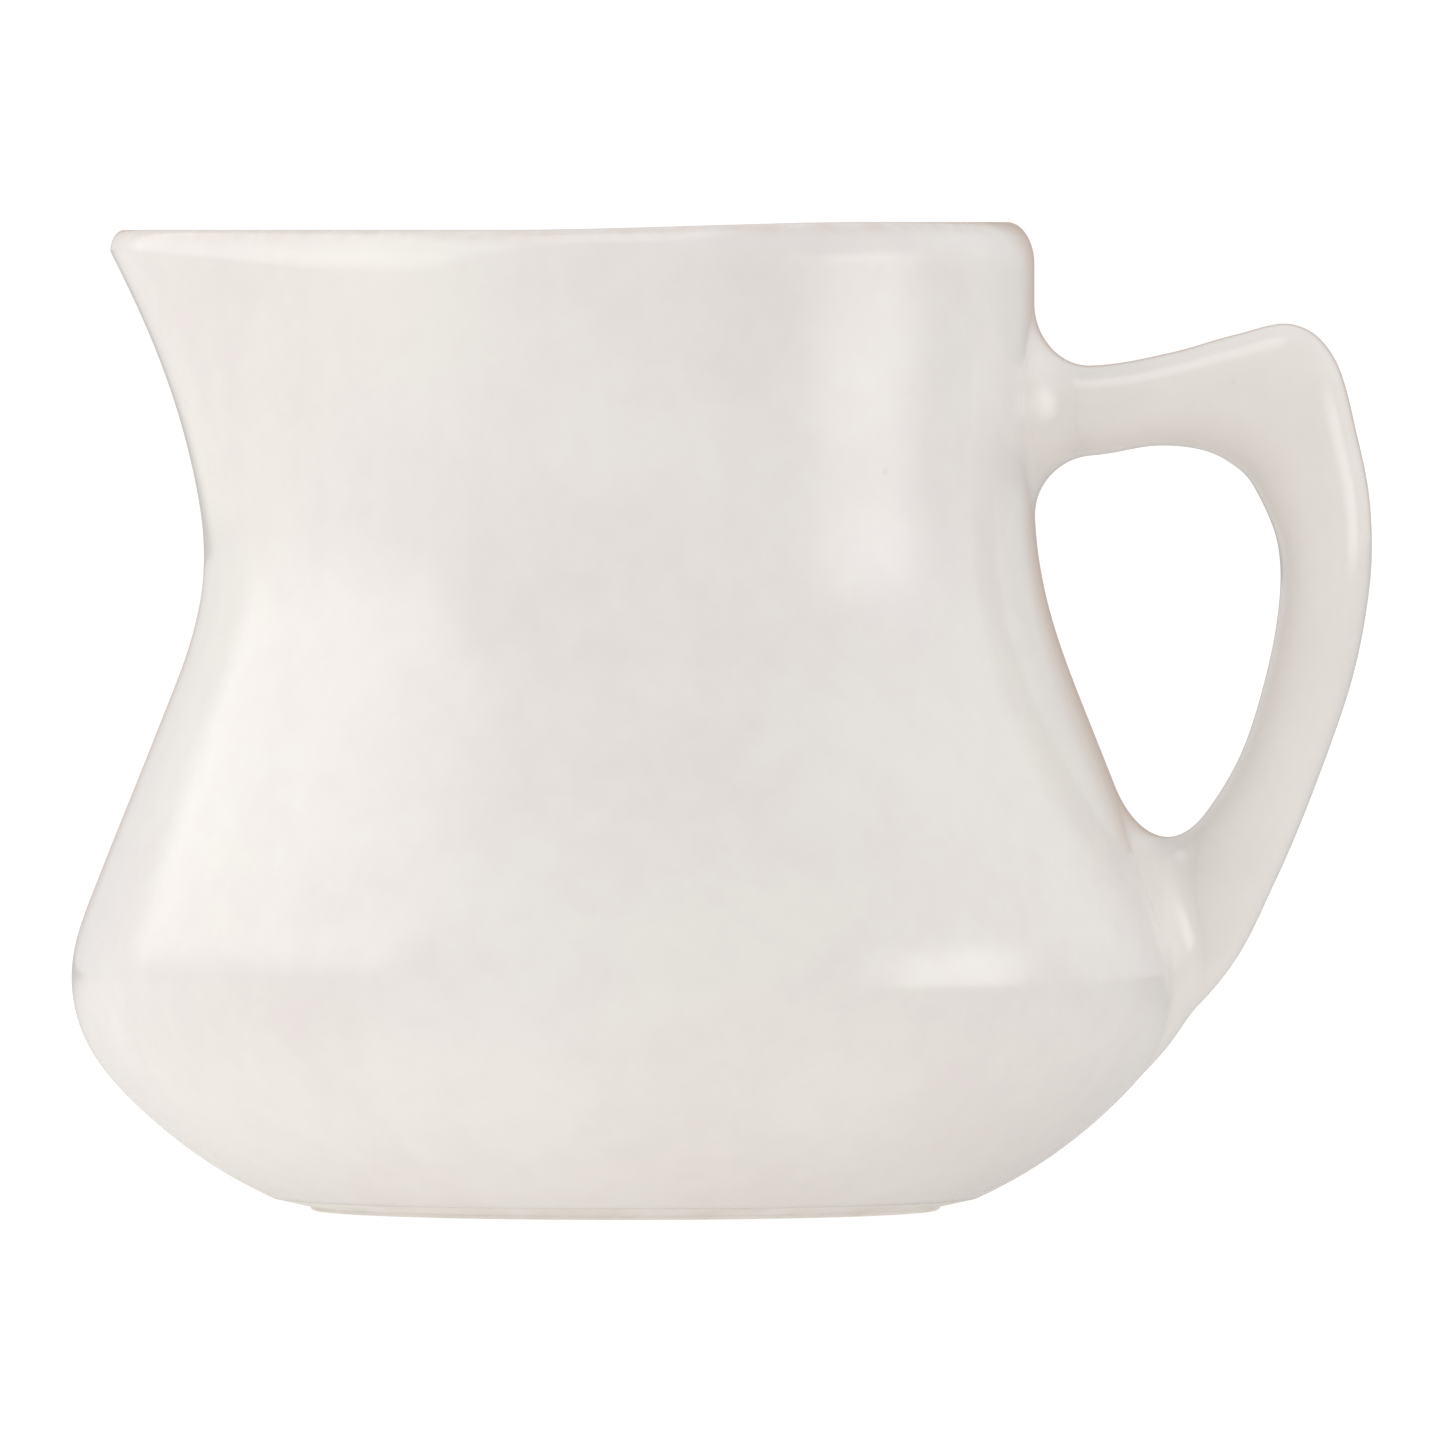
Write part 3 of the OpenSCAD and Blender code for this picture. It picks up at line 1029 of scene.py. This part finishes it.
FLOAT, COLOUR = "NodeSocketFloat", "NodeSocketColor"
Tint = tuple[float, float, float, float]
RARE_CELL = 0.965
BARE_SHARE = 0.38
PIT_DEPTH = 0.00008


def glaze_tone_group() -> bpy.types.NodeTree:
    """Colour of a glaze: clouds, faint runs down the wall, iron specks, and clay where it is thin.

    Returns:
        A group that puts out the colour and the mask of the specks.
    """
    inputs = {
        "Glaze": (COLOUR, (0.8, 0.77, 0.73, 1)),
        "Warm Glaze": (COLOUR, (0.8, 0.78, 0.72, 1)),
        "Deep Glaze": (COLOUR, (0.74, 0.7, 0.65, 1)),
        "Clay": (COLOUR, (0.6, 0.5, 0.4, 1)),
        "Speck": (COLOUR, (0.4, 0.3, 0.2, 1)),
        "Clouding": (FLOAT, 0.5),
        "Mottling": (FLOAT, 0.5),
        "Specks": (FLOAT, 0.5),
        "Thin": (FLOAT, 0.0),
    }
    tree = group_tree("glaze_tone", inputs, {"Color": COLOUR, "Speck Mask": FLOAT})
    w = Wiring(tree)
    given = w.add("NodeGroupInput").outputs
    place = w.add("TexCoord").outputs["Object"]
    clouds = w.add("TexNoise", Vector=place, Scale=34.0, Detail=3.0, Roughness=0.5).outputs[0]
    stretched = w.add("Mapping", Vector=place, Scale=(150.0, 150.0, 16.0)).outputs[0]
    runs = w.add("TexNoise", Vector=stretched, Scale=1.0, Detail=2.0).outputs[0]
    depth = w.add("MapRange", Value=clouds, From_Min=0.36, From_Max=0.66).outputs[0]
    drips = w.add("MapRange", Value=runs, From_Min=0.45, From_Max=0.75, To_Max=0.25).outputs[0]
    depth = w.maths("MULTIPLY", w.maths("ADD", depth, drips), given["Clouding"])
    fine = w.add("TexNoise", Vector=place, Scale=260.0, Detail=5.0, Roughness=0.65).outputs[0]
    grain = w.add("MapRange", Value=fine, From_Min=0.3, From_Max=0.7, To_Min=-0.5, To_Max=0.5).outputs[0]
    depth = w.maths("ADD", depth, w.maths("MULTIPLY", grain, given["Mottling"]))
    drift = w.add("TexNoise", Vector=place, Scale=20.0, Detail=1.0).outputs[0]
    warm = w.add("MapRange", Value=drift, From_Min=0.42, From_Max=0.62).outputs[0]
    toned = w.mix(depth, w.mix(warm, given["Glaze"], given["Warm Glaze"]), given["Deep Glaze"])
    cells = w.add("TexVoronoi", Vector=place, Scale=115.0)
    dot = w.add("MapRange", Value=cells.outputs["Distance"], From_Min=0.05, From_Max=0.025).outputs[0]
    chosen = w.add("SeparateColor", Color=cells.outputs["Color"]).outputs[0]
    rare = w.maths("GREATER_THAN", chosen, RARE_CELL)
    speck = w.maths("MULTIPLY", w.maths("MULTIPLY", dot, rare), given["Specks"])
    speckled = w.mix(speck, toned, given["Speck"])
    ragged = w.add("TexNoise", Vector=place, Scale=420.0, Detail=3.0).outputs[0]
    torn = w.add("MapRange", Value=ragged, From_Min=0.3, From_Max=0.7).outputs[0]
    bare = w.maths("MULTIPLY", given["Thin"], torn)
    colour = w.mix(w.maths("MULTIPLY", bare, BARE_SHARE), speckled, given["Clay"])
    out = w.add("NodeGroupOutput")
    tree.links.new(colour, out.inputs["Color"])
    tree.links.new(speck, out.inputs["Speck Mask"])
    return tree


def glaze_skin_group() -> bpy.types.NodeTree:
    """Relief and gloss of a fired glaze: a slow ripple, orange peel and a few pinholes.

    Returns:
        A group that puts out a height in metres and a roughness.
    """
    inputs = {
        "Ripple": (FLOAT, 0.00004),
        "Peel": (FLOAT, 0.000004),
        "Gloss": (FLOAT, 0.12),
        "Dulling": (FLOAT, 0.06),
        "Pits": (FLOAT, 0.0),
    }
    tree = group_tree("glaze_skin", inputs, {"Height": FLOAT, "Roughness": FLOAT})
    w = Wiring(tree)
    given = w.add("NodeGroupInput").outputs
    place = w.add("TexCoord").outputs["Object"]
    slow = w.add("TexNoise", Vector=place, Scale=70.0, Detail=2.0).outputs[0]
    peel = w.add("TexNoise", Vector=place, Scale=900.0, Detail=2.0).outputs[0]
    slow, peel = w.maths("MULTIPLY", slow, given["Ripple"]), w.maths("MULTIPLY", peel, given["Peel"])
    pits = w.maths("MULTIPLY", given["Pits"], PIT_DEPTH)
    relief = w.maths("SUBTRACT", w.maths("ADD", slow, peel), pits)
    haze = w.add("TexNoise", Vector=place, Scale=55.0, Detail=4.0, Roughness=0.6).outputs[0]
    haze = w.add("MapRange", Value=haze, From_Min=0.35, From_Max=0.7).outputs[0]
    dull = w.maths("MULTIPLY", haze, given["Dulling"])
    out = w.add("NodeGroupOutput")
    tree.links.new(relief, out.inputs["Height"])
    tree.links.new(w.maths("ADD", given["Gloss"], dull), out.inputs["Roughness"])
    return tree


def new_material(name: str) -> tuple[bpy.types.Material, Wiring, bpy.types.Node]:
    """Starts a material with nothing in its tree but a shader and the output.

    Args:
        name: Name of the material.

    Returns:
        The material, the wiring of its tree, and its shader.
    """
    material = bpy.data.materials.new(name)
    material.use_nodes = True
    material.node_tree.nodes.clear()
    wiring = Wiring(material.node_tree)
    shader = wiring.add("BsdfPrincipled")
    wiring.add("OutputMaterial", Surface=shader.outputs[0])
    return material, wiring, shader


@dataclass(frozen=True)
class GlazeFinish:
    """Glossy warm white glaze over pale clay."""

    name: str
    glaze: Tint = (0.805, 0.782, 0.76, 1)
    warm: Tint = (0.805, 0.79, 0.745, 1)
    deep: Tint = (0.76, 0.72, 0.712, 1)
    clay: Tint = (0.60, 0.47, 0.36, 1)
    speck: Tint = (0.42, 0.33, 0.25, 1)
    clouding: float = 0.7
    mottling: float = 0.5
    specks: float = 0.12
    gloss: float = 0.16
    dulling: float = 0.08
    ripple: float = 0.00006
    peel: float = 0.0000025

    def material(self, tone: bpy.types.NodeTree, skin: bpy.types.NodeTree) -> bpy.types.Material:
        """Builds the material: a soft glaze body under a clear, sharper coat.

        Args:
            tone: The glaze_tone group.
            skin: The glaze_skin group.

        Returns:
            The material.
        """
        material, w, shader = new_material(self.name)
        thin = w.add("Attribute", {"attribute_name": "thin"}).outputs["Fac"]
        tints = {"Glaze": self.glaze, "Warm_Glaze": self.warm, "Deep_Glaze": self.deep}
        tints |= {"Clay": self.clay, "Speck": self.speck}
        shares = {"Clouding": self.clouding, "Mottling": self.mottling, "Specks": self.specks}
        colour = w.add("Group", {"node_tree": tone}, **tints, **shares, Thin=thin)
        heights = {"Ripple": self.ripple, "Peel": self.peel, "Pits": colour.outputs["Speck Mask"]}
        dullness = {"Gloss": self.gloss, "Dulling": self.dulling}
        relief = w.add("Group", {"node_tree": skin}, **heights, **dullness)
        bump = w.add("Bump", Height=relief.outputs["Height"], Strength=1.0, Distance=1.0)
        w.tree.links.new(colour.outputs["Color"], shader.inputs["Base Color"])
        w.tree.links.new(relief.outputs["Roughness"], shader.inputs["Roughness"])
        w.tree.links.new(bump.outputs[0], shader.inputs["Normal"])
        shader.inputs["IOR"].default_value = 1.5
        shader.inputs["Coat Weight"].default_value = 0.6
        shader.inputs["Coat Roughness"].default_value = 0.07
        shader.inputs["Coat IOR"].default_value = 1.45
        return material


@dataclass(frozen=True)
class BareClayFinish:
    """Matt unglazed clay of the foot, ground flat and a little grubby."""

    name: str = "bare_clay"
    clay: Tint = (0.79, 0.765, 0.735, 1)
    stain: Tint = (0.74, 0.70, 0.655, 1)
    grit: float = 0.00005

    def material(self) -> bpy.types.Material:
        """Builds the material: fine grit, darker stains, and turning lines.

        Returns:
            The material.
        """
        material, w, shader = new_material(self.name)
        place = w.add("TexCoord").outputs["Object"]
        cloud = w.add("TexNoise", Vector=place, Scale=160.0, Detail=5.0, Roughness=0.65).outputs[0]
        grains = w.add("TexNoise", Vector=place, Scale=2600.0, Detail=2.0).outputs[0]
        stained = w.add("MapRange", Value=cloud, From_Min=0.42, From_Max=0.7).outputs[0]
        around = {"wave_type": "RINGS", "rings_direction": "Z"}
        rings = w.add("TexWave", around, Vector=place, Scale=900.0, Distortion=1.5)
        relief = w.maths("ADD", grains, w.maths("MULTIPLY", rings.outputs["Fac"], 0.5))
        bump = w.add("Bump", Height=w.maths("MULTIPLY", relief, self.grit), Strength=1.0, Distance=1.0)
        rough = w.add("MapRange", Value=cloud, To_Min=0.7, To_Max=0.95).outputs[0]
        w.tree.links.new(w.mix(stained, self.clay, self.stain), shader.inputs["Base Color"])
        w.tree.links.new(rough, shader.inputs["Roughness"])
        w.tree.links.new(bump.outputs[0], shader.inputs["Normal"])
        return material


# ---------------------------------------------------------------- the studio


@dataclass(frozen=True)
class SoftBox:
    """A rectangular light that faces the pitcher."""

    name: str
    azimuth_deg: float
    elevation_deg: float
    distance: float
    width: float
    height: float
    radiance: float
    colour: tuple[float, float, float] = (1.0, 1.0, 1.0)
    feather: tuple[float, float] = (0.3, 0.3)

    def shade(self, lamp: bpy.types.AreaLight) -> None:
        """Fades the light towards its edges, as cloth over a frame does.

        Args:
            lamp: The light to fade.
        """
        lamp.use_nodes = True
        lamp.node_tree.nodes.clear()
        w = Wiring(lamp.node_tree)
        across = w.add("SeparateXYZ", Vector=w.add("NewGeometry").outputs["Parametric"]).outputs
        strength: Any = 1.0
        for place, feather in zip(across[:2], self.feather):
            inward = w.maths("SUBTRACT", 0.5, w.maths("ABSOLUTE", w.maths("SUBTRACT", place, 0.5)))
            fade = w.add("MapRange", {"interpolation_type": "SMOOTHSTEP"}, Value=inward, From_Max=feather)
            strength = w.maths("MULTIPLY", strength, fade.outputs[0])
        glow = w.add("Emission", Strength=strength)
        w.add("OutputLight", Surface=glow.outputs[0])

    def place(self, aim: Vector) -> None:
        """Adds the light at its angles from the camera's side, looking at the aim.

        Args:
            aim: Point that the light faces.
        """
        lamp = bpy.data.lights.new(self.name, "AREA")
        lamp.shape = "RECTANGLE"
        lamp.size, lamp.size_y = self.width, self.height
        lamp.energy = self.radiance * math.pi * self.width * self.height
        lamp.color = self.colour
        self.shade(lamp)
        made = bpy.data.objects.new(self.name, lamp)
        a, e = math.radians(self.azimuth_deg), math.radians(self.elevation_deg)
        way = Vector((math.sin(a) * math.cos(e), -math.cos(a) * math.cos(e), math.sin(e)))
        made.location = aim + way * self.distance
        made.rotation_euler = (-way).to_track_quat("-Z", "Y").to_euler()
        bpy.context.scene.collection.objects.link(made)


@dataclass
class Studio:
    """Pale floor that glows as painted light, soft lights, pale surroundings and a long lens nearly level
    with the rim.
    """

    boxes: tuple[SoftBox, ...] = (
        SoftBox("window_left", -91, 36, 1.1, 1.95, 1.5, 0.7, (1.0, 0.985, 0.935), (0.15, 0.25)),
        SoftBox("window_left_glow", -70, 22, 1.05, 1.0, 0.6, 0.4, (1.0, 0.99, 0.95), (0.25, 0.35)),
        SoftBox("panel_right", 98, 24, 1.1, 2.0, 1.4, 0.34, (1.0, 0.99, 0.97), (0.35, 0.45)),
        SoftBox("panel_right_glow", 71, 7, 1.05, 1.05, 0.7, 1.6, (1.0, 0.99, 0.97), (0.4, 0.4)),
        SoftBox("panel_top", -10, 78, 1.1, 0.9, 0.9, 1.0),
    )
    front: tuple[float, float, float] = (0.725, 0.717, 0.716)
    behind: tuple[float, float, float] = (0.46, 0.33, 0.26)
    dark_way: tuple[float, float, float] = (0.15, 0.98, 0.1)
    camera_distance: float = 3.0
    camera_tilt_deg: float = 0.95
    view_width: float = 0.1445
    sensor: float = 36.0
    floor_half: float = 12.0
    dim_way: tuple[float, float, float] = (0.88, 0.48, 0)
    gloss_loss: float = 0.4
    seen_glow: float = 0.78

    def lights(self, aim: Vector) -> None:
        """Places the soft boxes around the aim."""
        for box in self.boxes:
            box.place(aim)

    def world(self) -> None:
        """Pale surroundings, brown in one patch behind, and white where the camera sees them."""
        world = bpy.data.worlds.new("pale_room")
        world.use_nodes = True
        world.node_tree.nodes.clear()
        w = Wiring(world.node_tree)
        way = w.add("TexCoord").outputs["Generated"]
        along = w.add("VectorMath", {"operation": "DOT_PRODUCT"}, i0=way, i1=self.dark_way).outputs["Value"]
        share = w.add("MapRange", Value=along, From_Min=0.9, From_Max=1.0).outputs[0]
        around = w.mix(share, (*self.front, 1), (*self.behind, 1))
        colour = w.mix(w.add("LightPath").outputs["Is Camera Ray"], around, (1.02, 1.02, 1.02, 1))
        w.add("OutputWorld", Surface=w.add("Background", Color=colour).outputs[0])
        bpy.context.scene.world = world

    def floor(self) -> None:
        """A wide pale floor that glows as painted light on the pitcher: white to the camera, and dimmer
        towards the back right for other rays.
        """
        mesh = bpy.data.meshes.new("studio_floor")
        corners = self.floor_half * np.array([(-1, -1, 0), (1, -1, 0), (1, 1, 0), (-1, 1, 0)])
        mesh.from_pydata(corners.tolist(), [], [(0, 1, 2, 3)])
        made = bpy.data.objects.new("studio_floor", mesh)
        bpy.context.scene.collection.objects.link(made)
        material, w, shader = new_material("glowing_floor")
        shader.inputs["Base Color"].default_value = (0.4, 0.396, 0.392, 1)
        shader.inputs["Roughness"].default_value = 1.0
        shader.inputs["Specular IOR Level"].default_value = 0.0
        # Painted light and shade: for other rays the floor's glow fades towards the back right and for
        # glossy rays, which shades the pitcher's underside and edges. Seen by the camera, the floor glows
        # white over its own contact shadow.
        place = w.add("NewGeometry").outputs["Position"]
        dot = {"operation": "DOT_PRODUCT"}
        back = w.add("VectorMath", dot, i0=place, i1=self.dim_way).outputs["Value"]
        span = {"From_Min": -0.06, "From_Max": 0.22, "To_Min": 0.74, "To_Max": 0.24}
        lit = w.add("MapRange", Value=back, **span).outputs[0]
        rays = w.add("LightPath").outputs
        seen = rays["Is Camera Ray"]
        lost = w.maths("MULTIPLY", rays["Is Glossy Ray"], self.gloss_loss)
        lit = w.maths("MULTIPLY", lit, w.maths("SUBTRACT", 1.0, lost))
        unseen = w.maths("MULTIPLY", w.maths("SUBTRACT", 1.0, seen), lit)
        glow = w.maths("ADD", w.maths("MULTIPLY", seen, self.seen_glow), unseen)
        w.tree.links.new(w.mix(seen, (1, 0.975, 0.94, 1), (1, 1, 1, 1)), shader.inputs["Emission Color"])
        w.tree.links.new(glow, shader.inputs["Emission Strength"])
        mesh.materials.append(material)

    def camera(self, aim: Vector) -> None:
        """A long lens far off, a little above level, centred on the aim.

        Args:
            aim: Point in the middle of the picture.
        """
        lens = bpy.data.cameras.new("long_lens")
        lens.sensor_width = self.sensor
        lens.lens = self.sensor * self.camera_distance / self.view_width
        lens.clip_end = 100.0
        made = bpy.data.objects.new("long_lens", lens)
        tilt = math.radians(self.camera_tilt_deg)
        way = Vector((0, -math.cos(tilt), math.sin(tilt)))
        made.location = aim + way * self.camera_distance / math.cos(tilt)
        made.rotation_euler = (-way).to_track_quat("-Z", "Y").to_euler()
        bpy.context.scene.collection.objects.link(made)
        bpy.context.scene.camera = made


# ---------------------------------------------------------------- putting it together


@dataclass
class Pitcher:
    """All the pieces of the pitcher, with their finishes."""

    wall: WallShape = field(default_factory=WallShape)
    upper_reach: float = 6.0
    lower_reach: float = 9.3

    def dress(self, surface: Surface, material: bpy.types.Material, node: str) -> None:
        """Builds a surface, gives it its material, and puts it in place of its CAD node.

        Args:
            surface: The piece's surface.
            material: Its finish.
            node: The CAD node that it stands for.
        """
        piece = surface.build()
        piece.data.materials.append(material)
        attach(piece, "root")
        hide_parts(node)
        LOG.info("%s: %d faces, for %s", piece.name, len(piece.data.polygons), node)

    def build(self) -> None:
        """Makes every piece and dresses it."""
        tone, skin = glaze_tone_group(), glaze_skin_group()
        handle = HandleShape(self.wall)
        body_glaze = GlazeFinish("warm_white_glaze").material(tone, skin)
        # Painted light: the handle and both joins take a lighter, pinker copy of the body's glaze, which
        # brightens them where they render darker.
        handle_glaze_brightened = GlazeFinish(
            "handle_glaze_brightened",
            glaze=(0.835, 0.805, 0.772, 1),
            warm=(0.835, 0.81, 0.76, 1),
            deep=(0.795, 0.755, 0.72, 1),
            ripple=0.00004,
        ).material(tone, skin)
        self.dress(Vessel(self.wall).surface(), body_glaze, "body")
        self.dress(FootRing(self.wall).surface(), BareClayFinish().material(), "foot_ring")
        self.dress(Handle(handle).surface(), handle_glaze_brightened, "handle")
        upper = JoinSlip(handle, End.UPPER, self.upper_reach)
        lower = JoinSlip(handle, End.LOWER, self.lower_reach)
        self.dress(upper.surface(), handle_glaze_brightened, "upper_joint_slip")
        self.dress(lower.surface(), handle_glaze_brightened, "lower_joint_slip")


def main() -> None:
    """Builds the pitcher and its studio."""
    logging.basicConfig(level=logging.INFO, format="%(name)s %(message)s")
    Pitcher().build()
    low, high = CAD_BOX
    aim = Vector(((low.x + high.x) / 2 + 0.00015, 0, 0.04875))
    studio = Studio()
    studio.floor()
    studio.world()
    studio.lights(aim)
    studio.camera(aim)
    bpy.context.scene.view_settings.view_transform = "Standard"


if __name__ == "__main__":
    main()
